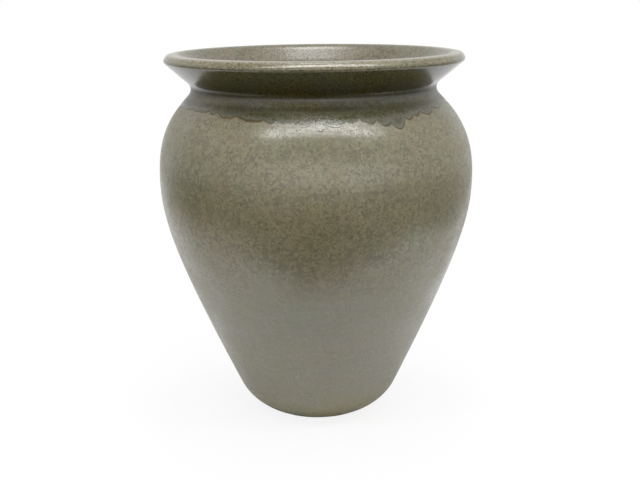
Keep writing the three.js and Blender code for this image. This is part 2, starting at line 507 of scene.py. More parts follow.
def turned_piece(name: str, section: np.ndarray, traits: dict[Trait, np.ndarray]) -> bpy.types.Object:
    """Makes one closed piece from sections that stand round the axis.

    Args:
        name: The piece's name.
        section: The section at every column, shaped (rows, columns, 2) as radius and height. It closes on itself,
            or starts and ends on the axis, where a row is a single point.
        traits: Values of each point, shaped (rows, columns), which the materials read by name.

    Returns:
        The piece, linked to the scene.
    """
    rows, columns = section.shape[:2]
    on_axis = np.all(section[..., 0] < TINY, axis=1)
    column = np.indices((rows, columns))[1]
    used = (column == 0) | ~on_axis[:, None]
    turn = ring_angles(columns)[column[used]]
    radius, height = section[used].T
    aside = NeckLean().aside(height)
    corners = np.stack((radius * np.sin(turn) + aside, -radius * np.cos(turn), height), axis=1)
    counts = np.where(on_axis, 1, columns)
    firsts = np.cumsum(counts) - counts
    here = np.arange(columns)
    there = (here + 1) % columns
    pairs = [(row, row + 1) for row in range(rows - 1)]
    if not on_axis[0]:
        pairs.append((rows - 1, 0))
    faces: list[tuple[int, ...]] = []
    for low, high in pairs:
        a, b = firsts[low], firsts[high]
        if on_axis[low]:
            loops = (0 * here + a, b + there, b + here)
        elif on_axis[high]:
            loops = (a + here, a + there, 0 * here + b)
        else:
            loops = (a + here, a + there, b + there, b + here)
        faces += zip(*(loop.tolist() for loop in loops))
    mesh = bpy.data.meshes.new(name)
    mesh.from_pydata(corners, [], faces)
    mesh.polygons.foreach_set("use_smooth", np.ones(len(mesh.polygons), bool))
    for trait, values in traits.items():
        attribute = mesh.attributes.new(trait.value, "FLOAT", "POINT")
        attribute.data.foreach_set("value", values[used].astype(np.float32))
    mesh.update()
    piece = bpy.data.objects.new(name, mesh)
    bpy.context.scene.collection.objects.link(piece)
    return piece


class Mixing(Enum):
    """How a colour is laid over another, as Blender's Mix node names it."""

    COVER = "MIX"
    TINT = "MULTIPLY"


class Graph:
    """A node tree that is written as a chain of calls."""

    def __init__(self, tree: bpy.types.NodeTree) -> None:
        """Takes a tree, emptied of the nodes that it starts with.

        Args:
            tree: The material's, world's or group's tree.
        """
        self.tree = tree
        tree.nodes.clear()

    def node(self, kind: str, inputs: dict | None = None, **settings) -> bpy.types.Node:
        """Adds a node.

        Args:
            kind: The node's type name.
            inputs: What feeds its sockets, by name or number: a socket, or a value to set.
            settings: The node's own properties.

        Returns:
            The node.
        """
        made = self.tree.nodes.new(kind)
        for name, value in settings.items():
            setattr(made, name, value)
        for key, value in (inputs or {}).items():
            self.feed(made.inputs[key], value)
        return made

    def feed(self, socket: Socket, value: Socket | float | tuple) -> None:
        """Links a socket to another, or sets its value.

        Args:
            socket: The socket that is fed.
            value: The socket to link it to, or the value to set.
        """
        if isinstance(value, bpy.types.NodeSocket):
            self.tree.links.new(value, socket)
        elif socket.type == "RGBA" and len(value) == 3:
            socket.default_value = (*value, 1.0)
        else:
            socket.default_value = value

    def math(self, operation: str, *values: Socket | float) -> Socket:
        """Adds a Math node of an operation and returns its result."""
        return self.node("ShaderNodeMath", dict(enumerate(values)), operation=operation).outputs[0]

    def times(self, first: Socket, second: Socket | float) -> Socket:
        """Returns the product of two values."""
        return self.math("MULTIPLY", first, second)

    def plus(self, first: Socket, second: Socket | float) -> Socket:
        """Returns the sum of two values."""
        return self.math("ADD", first, second)

    def vector(self, operation: str, *values: Socket | tuple) -> Socket:
        """Adds a Vector Math node of an operation and returns its vector."""
        return self.node("ShaderNodeVectorMath", dict(enumerate(values)), operation=operation).outputs[0]

    def axis(self, vector: Socket, index: int) -> Socket:
        """Returns one component of a vector."""
        return self.node("ShaderNodeSeparateXYZ", {0: vector}).outputs[index]

    def span(self, value: Socket, low: float, high: float, to_low: float = 0.0, to_high: float = 1.0) -> Socket:
        """Maps a range of values smoothly and clamped onto another.

        Args:
            value: What is mapped.
            low: The value that becomes to_low.
            high: The value that becomes to_high.
            to_low: The lower result.
            to_high: The upper result.

        Returns:
            The mapped value.
        """
        inputs = {"Value": value, "From Min": low, "From Max": high, "To Min": to_low, "To Max": to_high}
        return self.node("ShaderNodeMapRange", inputs, interpolation_type="SMOOTHSTEP").outputs["Result"]

    def between(self, share: Socket, ends: tuple[float, float]) -> Socket:
        """Eases from one value to another as a share goes from 0 to 1."""
        return self.span(share, 0.0, 1.0, *ends)

    def layered(
        self, colour: Socket | Colour, layers: tuple[tuple[Socket, Socket | Colour], ...],
        mixing: Mixing = Mixing.COVER,
    ) -> Socket:
        """Lays colours over a colour, one after another.

        Args:
            colour: The colour underneath.
            layers: The share and the colour of each layer.
            mixing: How they are laid.

        Returns:
            The resulting colour.
        """
        for share, layer in layers:
            inputs = {"Factor": share, 6: colour, 7: layer}
            colour = self.node("ShaderNodeMix", inputs, data_type="RGBA", blend_type=mixing.value).outputs[2]
        return colour

    def noise(self, place: Socket, scale: Socket | float, detail: float = 2.0, roughness: float = 0.5) -> Socket:
        """Adds noise and returns its value.

        Args:
            place: Where it is looked up.
            scale: How many features it has in one unit of the place.
            detail: How many finer octaves it has.
            roughness: How strong those are.

        Returns:
            The noise, about 0.3 to 0.7.
        """
        inputs = {"Vector": place, "Scale": scale, "Detail": detail, "Roughness": roughness}
        return self.node("ShaderNodeTexNoise", inputs).outputs["Fac"]

    def cells(self, place: Socket, scale: Socket | float) -> Socket:
        """Adds uneven cells of a scale and returns the distance from their middles."""
        return self.node("ShaderNodeTexVoronoi", {"Vector": place, "Scale": scale}).outputs["Distance"]

    def trait(self, name: Trait) -> Socket:
        """Reads what the piece's points carry under a name."""
        return self.node("ShaderNodeAttribute", attribute_name=name.value).outputs["Fac"]

    def place(self) -> Socket:
        """Returns the place on the object, in metres."""
        return self.node("ShaderNodeTexCoord").outputs["Object"]


@dataclass(frozen=True)
class NoiseLayer:
    """One layer of noise: the size of its features, its detail and roughness, and the range that is spread out."""

    size: float
    detail: float
    roughness: float
    low: float
    high: float
    to_low: float = 0.0
    to_high: float = 1.0

    def values(self, graph: Graph, place: Socket) -> Socket:
        """Adds the layer to a graph and returns its values."""
        noise = graph.noise(place, 1 / self.size, self.detail, self.roughness)
        return graph.span(noise, self.low, self.high, self.to_low, self.to_high)


@dataclass(frozen=True)
class Band:
    """A stretch of a height or a distance over which an effect fades in and out again."""

    starts: float
    full_from: float
    full_to: float
    ends: float
    strength: float = 1.0
    before: float = 0.0

    def mask(self, graph: Graph, value: Socket) -> Socket:
        """Adds the band to a graph and returns how strong the effect is."""
        rising = graph.span(value, self.starts, self.full_from, self.before, 1.0)
        return graph.times(rising, graph.span(value, self.full_to, self.ends, self.strength, 0.0))


class NodeGroup:
    """A shader node group that is built once and placed in several materials. Its inputs are values, given with their
    defaults, and places, given as None."""

    name = "group"
    inputs: dict[str, float | None] = {}
    outputs: tuple[str, ...] = ()

    def tree(self) -> bpy.types.NodeTree:
        """Finds the group's tree, which the first call builds.

        Returns:
            The tree.
        """
        found = bpy.data.node_groups.get(self.name)
        if found:
            return found
        made = bpy.data.node_groups.new(self.name, "ShaderNodeTree")
        for name, value in self.inputs.items():
            kind = "NodeSocketVector" if value is None else "NodeSocketFloat"
            socket = made.interface.new_socket(name, in_out="INPUT", socket_type=kind)
            if value is not None:
                socket.default_value = value
        for name in self.outputs:
            made.interface.new_socket(name, in_out="OUTPUT", socket_type="NodeSocketFloat")
        graph = Graph(made)
        wanted = graph.node("NodeGroupOutput").inputs
        for name, value in self.build(graph, graph.node("NodeGroupInput").outputs).items():
            graph.feed(wanted[name], value)
        return made

    def build(self, graph: Graph, given: bpy.types.NodeOutputs) -> dict[str, Socket]:
        """Fills the group with nodes.

        Args:
            graph: The group's tree.
            given: What the materials feed it.

        Returns:
            What it puts out, by the outputs' names.
        """
        raise NotImplementedError

    def placed(self, graph: Graph, **values: Socket | float) -> bpy.types.NodeOutputs:
        """Places the group in a material.

        Args:
            graph: The material's tree.
            values: What feeds the group, by socket name with underscores for spaces.

        Returns:
            The group's outputs.
        """
        made = graph.node("ShaderNodeGroup", node_tree=self.tree())
        for name, value in values.items():
            graph.feed(made.inputs[name.replace("_", " ")], value)
        return made.outputs


class GlazeMottle(NodeGroup):
    """The clouds, the dark marks between small pale cells, the grain and the pinholes of a stoneware glaze."""

    name = "glaze_mottle"
    inputs = {"Place": None, "Mark Size": 0.0021}
    outputs = ("Clouds", "Blush", "Marks", "Grain", "Pinholes")

    CLOUDS = NoiseLayer(size=0.055, detail=3.0, roughness=0.55, low=0.34, high=0.66)
    BLUSH = NoiseLayer(size=0.016, detail=4.0, roughness=0.6, low=0.38, high=0.64)
    PATCHES = NoiseLayer(size=0.02, detail=2.0, roughness=0.5, low=0.34, high=0.62, to_low=0.75)
    GRAIN = NoiseLayer(size=0.0024, detail=3.0, roughness=0.6, low=0.3, high=0.7)
    BEND_SIZE, BEND_REACH = 0.005, 0.0016
    SPECK_SPAN = (0.47, 0.66)
    CELL_MARKS, CORNER_SPAN, CORNER_SHARE = 2.2, (0.45, 0.85), 0.7
    PINHOLE_SPACING, PINHOLE_RADIUS_SHARE = 0.011, 0.09

    def build(self, graph: Graph, given: bpy.types.NodeOutputs) -> dict[str, Socket]:
        """Fills the group with nodes.

        Args:
            graph: The group's tree.
            given: The place on the object and the size of the marks, in metres.

        Returns:
            Each effect's share, from 0 to 1.
        """
        place = given["Place"]
        bend = graph.node("ShaderNodeTexNoise", {"Vector": place, "Scale": 1 / self.BEND_SIZE, "Detail": 2.0})
        centred = graph.vector("SUBTRACT", bend.outputs["Color"], (0.5, 0.5, 0.5))
        bent = graph.vector("ADD", place, graph.vector("MULTIPLY", centred, (2 * self.BEND_REACH,) * 3))
        fineness = graph.math("DIVIDE", 1.0, given["Mark Size"])
        specks = graph.span(graph.noise(bent, fineness, detail=1.0), *self.SPECK_SPAN)
        cells = graph.cells(bent, graph.math("DIVIDE", fineness, self.CELL_MARKS))
        marks = graph.math("MAXIMUM", specks, graph.span(cells, *self.CORNER_SPAN, 0.0, self.CORNER_SHARE))
        dots = graph.cells(place, 1 / self.PINHOLE_SPACING)
        return {
            "Clouds": self.CLOUDS.values(graph, place),
            "Blush": self.BLUSH.values(graph, place),
            "Marks": graph.times(marks, self.PATCHES.values(graph, place)),
            "Grain": self.GRAIN.values(graph, place),
            "Pinholes": graph.span(dots, 0.0, self.PINHOLE_RADIUS_SHARE, 1.0, 0.0),
        }


class RunStreaks(NodeGroup):
    """Fine streaks that follow the way a glaze has run, straight up and down the vase."""

    name = "run_streaks"
    inputs = {"Place": None, "Count": 60.0}
    outputs = ("Streaks", "Broad Streaks")

    UPRIGHT_SHARE = (0.0, 0.0, 5.0)
    FINE_SPAN, BROAD_SPAN = (0.36, 0.66), (0.36, 0.64)
    BROAD_SHARE = 0.28

    def build(self, graph: Graph, given: bpy.types.NodeOutputs) -> dict[str, Socket]:
        """Fills the group with nodes.

        Args:
            graph: The group's tree.
            given: The place on the object, and how many streaks there are to a radian.

        Returns:
            The fine and the broad streaks, from 0 to 1.
        """
        turn = graph.vector("NORMALIZE", graph.vector("MULTIPLY", given["Place"], FLATTENED))
        place = graph.vector("ADD", turn, graph.vector("MULTIPLY", given["Place"], self.UPRIGHT_SHARE))
        fine = graph.noise(place, given["Count"], detail=3.0)
        broad = graph.noise(place, graph.times(given["Count"], self.BROAD_SHARE))
        return {"Streaks": graph.span(fine, *self.FINE_SPAN), "Broad Streaks": graph.span(broad, *self.BROAD_SPAN)}


class EdgeLine(NodeGroup):
    """The thin line in which a glaze ends, which fades towards the middle of the front and the back, and the halo
    beside it."""

    name = "edge_line"
    inputs = {"Place": None, "Distance": 0.0, "Width": 0.0012, "Middle Strength": 1.0}
    outputs = ("Line", "Halo")

    UNEVEN = NoiseLayer(size=0.006, detail=3.0, roughness=0.5, low=0.3, high=0.7, to_low=0.55, to_high=1.3)
    LINE_WIDTHS, HALO_WIDTHS = (0.5, 1.2), (0.6, 4.0)
    MIDDLE_SIDES = (0.03, 0.05)

    def build(self, graph: Graph, given: bpy.types.NodeOutputs) -> dict[str, Socket]:
        """Fills the group with nodes.

        Args:
            graph: The group's tree.
            given: The place, the distance from the edge, the line's width and its strength in the middle.

        Returns:
            The line's and the halo's shares, from 0 to 1.
        """
        width = graph.times(given["Width"], self.UNEVEN.values(graph, given["Place"]))
        widths = graph.math("DIVIDE", given["Distance"], width)
        aside = graph.math("ABSOLUTE", graph.axis(given["Place"], 0))
        strength = graph.span(aside, *self.MIDDLE_SIDES, given["Middle Strength"], 1.0)
        line = graph.span(widths, *self.LINE_WIDTHS, 1.0, 0.0)
        return {"Line": graph.times(line, strength), "Halo": graph.span(widths, *self.HALO_WIDTHS, 1.0, 0.0)}


@dataclass(frozen=True)
class Surface:
    """What is the same all over a finish: how strongly it reflects, and how deep its small relief is."""

    ior: float
    relief_depth: float

    def shader(self, graph: Graph, colour: Socket, roughness: Socket, relief: Socket) -> None:
        """Adds the surface's shader and the output.

        Args:
            graph: The material's tree.
            colour: The base colour.
            roughness: The roughness.
            relief: The height of the small relief, as a share of its depth.
        """
        bump = graph.node("ShaderNodeBump", {"Height": relief, "Strength": 1.0, "Distance": self.relief_depth})
        inputs = {"Base Color": colour, "Roughness": roughness, "Normal": bump.outputs["Normal"], "IOR": self.ior}
        shader = graph.node("ShaderNodeBsdfPrincipled", inputs)
        graph.node("ShaderNodeOutputMaterial", {"Surface": shader.outputs["BSDF"]})


def new_material(name: str) -> tuple[bpy.types.Material, Graph]:
    """Makes an empty node material.

    Args:
        name: The material's name.

    Returns:
        The material and its graph.
    """
    material = bpy.data.materials.new(name)
    material.use_nodes = True
    return material, Graph(material.node_tree)


@dataclass(frozen=True)
class BareClayFinish:
    """Unglazed fired clay: matt, warm brown and gritty."""

    clay: Colour = (0.24, 0.155, 0.085)
    toasted: Colour = (0.13, 0.07, 0.036)
    grit: Colour = (0.33, 0.26, 0.18)
    grit_span: tuple[float, float] = (0.6, 0.95)
    mark_size: float = 0.0011
    mark_depth_share: float = -0.4
    roughness: tuple[float, float] = (0.72, 0.92)
    surface: Surface = Surface(ior=1.45, relief_depth=0.0002)

    def material(self) -> bpy.types.Material:
        """Builds the material.

        Returns:
            The material.
        """
        made, graph = new_material("bare_clay")
        mottle = GlazeMottle().placed(graph, Place=graph.place(), Mark_Size=self.mark_size)
        colour = graph.layered(self.clay, (
            (mottle["Clouds"], self.toasted),
            (graph.span(mottle["Grain"], *self.grit_span), self.grit),
            (mottle["Pinholes"], self.toasted),
        ))
        roughness = graph.between(mottle["Grain"], self.roughness)
        relief = graph.plus(mottle["Grain"], graph.times(mottle["Marks"], self.mark_depth_share))
        self.surface.shader(graph, colour, roughness, relief)
        return made


@dataclass(frozen=True)
class SatinGlazeFinish:
    """A satin glaze, mottled grey-olive, with dark marks between its pale cells and pinholes. The lower wall is
    calmer and greyer, with faint level bands of mauve, and a rust line runs along each edge."""

    name: str = "satin_body_glaze"
    olive: Colour = (0.15, 0.146, 0.072)
    ochre: Colour = (0.164, 0.138, 0.057)
    blush: Colour = (0.184, 0.146, 0.09)
    dark: Colour = (0.042, 0.034, 0.01)
    pale: Colour = (0.2, 0.198, 0.125)
    slate: Colour = (0.14, 0.139, 0.108)
    mauve: Colour = (0.165, 0.15, 0.138)
    rust: Colour = (0.105, 0.062, 0.008)
    halo: Colour = (0.19, 0.155, 0.075)
    slate_band: Band = Band(0.01, 0.04, 0.1, 0.23, strength=0.75)
    mauve_levels: NoiseLayer = NoiseLayer(size=0.014, detail=3.0, roughness=0.6, low=0.42, high=0.66, to_high=0.7)
    level_stretch: tuple[float, float, float] = (0.25, 0.25, 1.0)
    calm_heights: tuple[float, float] = (0.12, 0.2)
    blush_shares: tuple[float, float] = (0.25, 0.45)
    marks_shares: tuple[float, float] = (0.2, 0.7)
    fleck_span: tuple[float, float, float, float] = (0.45, 1.0, 0.0, 0.5)
    pinhole_share: float = 0.7
    mark_size: float = 0.0022
    run_line_width: float = 0.001
    run_line_share: float = 0.8
    run_halo_share: float = 0.25
    middle_strength: float = 0.05
    foot_line_width: float = 0.0016
    foot_halo_share: float = 0.5
    roughness: tuple[float, float] = (0.25, 0.36)
    marks_roughness: float = 0.08
    mark_depth_share: float = -0.8
    surface: Surface = Surface(ior=1.8, relief_depth=0.000018)

    def material(self) -> bpy.types.Material:
        """Builds the material.

        Returns:
            The material.
        """
        made, graph = new_material(self.name)
        place = graph.place()
        mottle = GlazeMottle().placed(graph, Place=place, Mark_Size=self.mark_size)
        height = graph.axis(place, 2)
        slate = self.slate_band.mask(graph, height)
        levels = self.mauve_levels.values(graph, graph.vector("MULTIPLY", place, self.level_stretch))
        lively = graph.span(height, *self.calm_heights)
        run = EdgeLine().placed(graph, Place=place, Distance=graph.trait(Trait.RUN_DISTANCE),
                                Width=self.run_line_width, Middle_Strength=self.middle_strength)
        foot = EdgeLine().placed(graph, Place=place, Distance=graph.trait(Trait.EDGE_DISTANCE),
                                 Width=self.foot_line_width)
        colour = graph.layered(self.olive, (
            (mottle["Clouds"], self.ochre),
            (slate, self.slate),
            (graph.times(levels, slate), self.mauve),
            (graph.times(mottle["Blush"], graph.between(lively, self.blush_shares)), self.blush),
            (graph.span(mottle["Grain"], *self.fleck_span), self.pale),
            (graph.times(mottle["Marks"], graph.between(lively, self.marks_shares)), self.dark),
            (graph.times(mottle["Pinholes"], self.pinhole_share), self.dark),
            (graph.times(run["Halo"], self.run_halo_share), self.halo),
            (graph.times(run["Line"], self.run_line_share), self.rust),
            (graph.times(foot["Halo"], self.foot_halo_share), self.ochre),
            (foot["Line"], self.rust),
        ))
        roughness = graph.between(mottle["Clouds"], self.roughness)
        roughness = graph.plus(roughness, graph.times(mottle["Marks"], self.marks_roughness))
        relief = graph.plus(mottle["Grain"], graph.times(mottle["Marks"], self.mark_depth_share))
        relief = graph.math("SUBTRACT", relief, mottle["Pinholes"])
        self.surface.shader(graph, colour, roughness, relief)
        return made


@dataclass(frozen=True)
class GlossyGlazeFinish:
    """The last coat: a darker, glossier olive with fine streaks. Round the neck it is duller and lightened by a
    painted sheen, where the neck's curve reflects the light; under the mouth it is darkened as painted shade; it is
    pale where it is thin on the lip, and it ends in a rust line with a paler hem. Its bands are measured along the
    outline from the lip's nose, upwards."""

    olive: Colour = (0.066, 0.065, 0.014)
    milky: Colour = (0.08, 0.086, 0.056)
    # Painted sheen: this paler colour, laid round the neck, stands in for the light that the neck's curve reflects.
    neck: Colour = (0.125, 0.13, 0.094)
    lip: Colour = (0.21, 0.2, 0.125)
    inner: Colour = (0.142, 0.132, 0.08)
    rust: Colour = (0.062, 0.038, 0.001)
    umber: Colour = (0.036, 0.028, 0.002)
    hem: Colour = (0.15, 0.15, 0.115)
    blush_tint: Colour = (1.16, 0.97, 1.04)
    brown_tint: Colour = (1.1, 0.96, 0.5)
    dark_tint: Colour = (0.32, 0.27, 0.22)
    streak_tint: Colour = (0.72, 0.72, 0.66)
    # Painted shade: this tint darkens the coat on the mouth's underside, under the lip's overhang.
    under_mouth_painted_shade_tint: Colour = (0.6, 0.58, 0.4)
    milky_span: tuple[float, float, float, float] = (0.002, 0.03, 0.55, 0.3)
    milky_streaks: tuple[float, float] = (1.0, 0.5)
    # The band and the streaks of the painted sheen round the neck.
    painted_neck_sheen_band: Band = Band(-0.049, -0.043, -0.0402, -0.0372)
    painted_neck_sheen_streaks: tuple[float, float] = (1.0, 0.55)
    brown_band: Band = Band(-0.05, -0.04, -0.01, -0.003, before=0.3)
    brown_clouds: tuple[float, float] = (0.35, 0.8)
    # Where the painted shade under the mouth falls, measured from the lip's nose.
    under_mouth_painted_shade_band: Band = Band(-0.046, -0.038, -0.034, -0.004)
    lip_band: Band = Band(-0.0022, 0.0006, 0.011, 0.016, strength=0.9)
    inner_start: tuple[float, float] = (0.012, 0.019)
    blush_share: float = 0.6
    marks_share: float = 0.75
    hem_share: float = 0.4
    mark_size: float = 0.0019
    streak_count: float = 90.0
    line_width: float = 0.0024
    middle_strength: float = 0.08
    roughness: tuple[float, float] = (0.12, 0.18)
    dull_band: Band = Band(-0.058, -0.048, -0.036, -0.029)
    dull_roughness: float = 0.2
    inner_roughness: tuple[float, float, float, float] = (0.01, 0.014, 0.0, 0.08)
    grain_depth_share: float = 0.5
    surface: Surface = Surface(ior=1.6, relief_depth=0.00003)

    def colour(self, graph: Graph, mottle: bpy.types.NodeOutputs, streaks: bpy.types.NodeOutputs) -> Socket:
        """Mixes the colour.

        Args:
            graph: The material's tree.
            mottle: The placed mottle's outputs.
            streaks: The placed streaks' outputs.

        Returns:
            The colour.
        """
        distance, above_nose = graph.trait(Trait.EDGE_DISTANCE), graph.trait(Trait.NOSE_DISTANCE)
        milky = graph.times(graph.span(distance, *self.milky_span),
                            graph.between(streaks["Broad Streaks"], self.milky_streaks))
        fringe = graph.between(streaks["Streaks"], self.painted_neck_sheen_streaks)
        colour = graph.layered(self.olive, (
            (milky, self.milky),
            # Painted sheen: the neck band is lightened with the neck colour, broken up by the streaks.
            (graph.times(self.painted_neck_sheen_band.mask(graph, above_nose), fringe), self.neck),
            (graph.span(above_nose, *self.inner_start), self.inner),
            (self.lip_band.mask(graph, above_nose), self.lip),
        ))
        clouds = graph.span(mottle["Clouds"], *self.brown_clouds)
        colour = graph.layered(colour, (
            (graph.times(mottle["Blush"], self.blush_share), self.blush_tint),
            (graph.times(clouds, self.brown_band.mask(graph, above_nose)), self.brown_tint),
            (graph.times(mottle["Marks"], self.marks_share), self.dark_tint),
            (streaks["Streaks"], self.streak_tint),
            # Painted shade: the underside of the mouth is darkened with this tint.
            (self.under_mouth_painted_shade_band.mask(graph, above_nose), self.under_mouth_painted_shade_tint),
        ), Mixing.TINT)
        edge = EdgeLine().placed(graph, Place=graph.place(), Distance=distance, Width=self.line_width,
                                 Middle_Strength=self.middle_strength)
        line = graph.layered(self.rust, ((streaks["Broad Streaks"], self.umber),))
        return graph.layered(colour, ((graph.times(edge["Halo"], self.hem_share), self.hem), (edge["Line"], line)))

    def material(self) -> bpy.types.Material:
        """Builds the material.

        Returns:
            The material.
        """
        made, graph = new_material("glossy_collar_glaze")
        mottle = GlazeMottle().placed(graph, Place=graph.place(), Mark_Size=self.mark_size)
        streaks = RunStreaks().placed(graph, Place=graph.place(), Count=self.streak_count)
        above_nose = graph.trait(Trait.NOSE_DISTANCE)
        dull = graph.times(self.dull_band.mask(graph, above_nose), self.dull_roughness)
        roughness = graph.plus(graph.between(mottle["Clouds"], self.roughness), dull)
        roughness = graph.plus(roughness, graph.span(above_nose, *self.inner_roughness))
        relief = graph.plus(graph.times(mottle["Grain"], self.grain_depth_share), streaks["Streaks"])
        relief = graph.math("SUBTRACT", relief, mottle["Pinholes"])
        self.surface.shader(graph, self.colour(graph, mottle, streaks), roughness, relief)
        return made


Finish = BareClayFinish | SatinGlazeFinish | GlossyGlazeFinish


@dataclass
class VaseLayer:
    """The clay or a coat of glaze: what all four pieces have in common."""

    form: ClayForm = field(default_factory=ClayForm)
    columns: int = 540
    hidden_spacing: float = 0.008
    body_lift: float = 0.00098
    seat: float = 0.00002

    def spread(self, ways: np.ndarray) -> np.ndarray:
        """Repeats a column of ways or points for every column."""
        return np.repeat(ways[:, None], self.columns, axis=1)

    def dress(self, piece: bpy.types.Object, finish: Finish, slot: str, node: str) -> bpy.types.Object:
        """Gives a piece its finish and its place in the frame.

        Args:
            piece: The piece.
            finish: The finish, whose material it gets.
            slot: The record's material slot; not used.
            node: The frame's solid that the piece stands for.

        Returns:
            The piece.
        """
        piece.data.materials.append(finish.material())
        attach(piece, "root")
        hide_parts(node)
        return piece


@dataclass
class ThrownClay(VaseLayer):
    """The clay, thrown in one piece, with its foot ring trimmed round a shallow recess."""

    trimming: ThrowingMarks = ThrowingMarks(pitch=0.0016, depth=0.00022, turns_in=0)
    step_softening_share: float = 0.15
    ring_softening: float = 0.0006
    recess_points: int = 90
    step_points: int = 6
    softening_steps: int = 4
    ring_points: int = 8
    shown_way: float = 0.012
    shown_spacing: float = 0.0006

    def underside(self) -> np.ndarray:
        """Draws the underside, with the rings that the trimming left.

        Returns:
            Its section, from the axis out to the foot ring's outer edge.
        """
        form = self.form
        ring_inner = form.foot_radius - form.foot_ring_width
        recess = np.array((ring_inner - form.foot_recess_slope, form.foot_recess_depth))
        step = np.array((ring_inner, 0.0))
        into = step - (step - recess) * self.step_softening_share
        onto = step + np.array((self.ring_softening, 0))
        section = np.vstack((
            np.linspace((0.0, form.foot_recess_depth), recess, self.recess_points),
            np.linspace(recess, into, self.step_points)[1:],
            quadratic(into, step, onto, self.softening_steps),
            np.linspace(onto, (form.foot_radius, 0.0), self.ring_points)[1:-1],
        ))
        below = section[:, 1] < form.foot_recess_depth - TINY
        section[:, 1] -= np.where(below, 0.0, self.trimming.lift(section[:, 0], np.zeros(len(section))))
        return section

    def build(self) -> bpy.types.Object:
        """Builds and dresses the piece.

        Returns:
            The piece.
        """
        rising, falling = self.form.rising(), self.form.falling()
        shown = even_ways(0, self.shown_way, self.shown_spacing)
        hidden = even_ways(shown[-1], rising.length, self.hidden_spacing / 2)[1:]
        outside = rising.lifted(np.concatenate((shown, hidden)), 0.0)
        inside = falling.lifted(even_ways(0, falling.length, self.hidden_spacing / 2)[1:], 0.0)
        section = self.spread(np.vstack((self.underside(), outside, inside)))
        piece = turned_piece("thrown_clay", section, {})
        return self.dress(piece, BareClayFinish(), "stoneware", "stoneware_body")


@dataclass
class FirstCoat(VaseLayer):
    """The satin coat over the outside, from just above the foot up under the last coat."""

    bare_height: float = 0.002
    bare_ripple: Ripple = Ripple(0.0004, ((5, 1.0, 1.0), (11, 0.6, 0.0), (23, 0.4, 0.0)))
    marks: ThrowingMarks = ThrowingMarks(pitch=0.0068, depth=0.00005, reach=0.006)
    edge: CoatEdge = CoatEdge(edge_thickness=0.0008, full_distance=0.012)
    run: RunEdge = field(default_factory=RunEdge)
    edge_millimetres: tuple[float, ...] = (0, 0.05, 0.15, 0.3, 0.5, 0.8, 1.2, 1.8, 2.6)
    ripple_room: float = 0.002
    row_spacing: float = 0.0012
    under_rows: int = 50

    def build(self) -> bpy.types.Object:
        """Builds and dresses the piece.

        Returns:
            The piece.
        """
        rising = self.form.rising()
        angles = ring_angles(self.columns)
        start = rising.way_at(self.bare_height + self.bare_ripple.at(angles))
        neck = self.form.neck_corner[1]
        run_way = rising.way_at(neck - self.run.drop(angles))
        edge_steps = np.array(self.edge_millimetres) * MILLIMETRE
        edge_end = float(rising.way_at(self.bare_height)) + edge_steps[-1] + self.ripple_room
        shown_end = float(rising.way_at(neck))
        further = np.concatenate((
            even_ways(edge_end, shown_end, self.row_spacing),
            even_ways(shown_end, rising.length, self.hidden_spacing / 2)[1:],
        ))
        ways = np.vstack((start + edge_steps[:, None], self.spread(further)))
        distance = ways - start
        lift = self.edge.thickness(distance, self.body_lift) + self.marks.faded(ways, angles, distance)
        under_ways = np.linspace(ways[-1], start + self.edge.rounding / 2, self.under_rows)
        section = np.concatenate((rising.lifted(ways, np.maximum(lift, -self.seat)), rising.lifted(under_ways, 0.0)))
        all_ways = np.concatenate((ways, under_ways))
        traits = {Trait.EDGE_DISTANCE: all_ways - start, Trait.RUN_DISTANCE: np.abs(run_way - all_ways)}
        piece = turned_piece("first_coat", section, traits)
        return self.dress(piece, SatinGlazeFinish(), "body_glaze", "body_glaze")


@dataclass
class PouredLiner(VaseLayer):
    """The coat that was poured inside, from the crest down over the floor."""

    columns: int = 360
    marks: ThrowingMarks = ThrowingMarks(pitch=0.0105, depth=0.0005, reach=0.008)
    start_way: float = 0.0004
    row_spacing: float = 0.0018

    def build(self) -> bpy.types.Object:
        """Builds and dresses the piece.

        Returns:
            The piece.
        """
        falling = self.form.falling()
        ways = self.spread(even_ways(self.start_way, falling.length, self.row_spacing))
        lift = self.body_lift + self.marks.faded(ways, ring_angles(self.columns), falling.length - ways)
        over = falling.lifted(ways, lift)
        under = falling.lifted(self.spread(even_ways(falling.length, self.start_way, self.hidden_spacing)), 0.0)
        over[-1, :, 0] = 0.0
        under[0, :, 0] = 0.0
        section = np.concatenate((over[::-1], under[::-1]))
        far = np.full(section.shape[:2], NO_EDGE_NEAR)
        piece = turned_piece("poured_liner", section, {Trait.EDGE_DISTANCE: far, Trait.RUN_DISTANCE: far})
        finish = SatinGlazeFinish(name="satin_liner_glaze", olive=(0.17, 0.163, 0.1), ochre=(0.16, 0.142, 0.078),
                                  marks_shares=(0.2, 0.5))
        return self.dress(piece, finish, "liner_glaze", "liner_glaze")


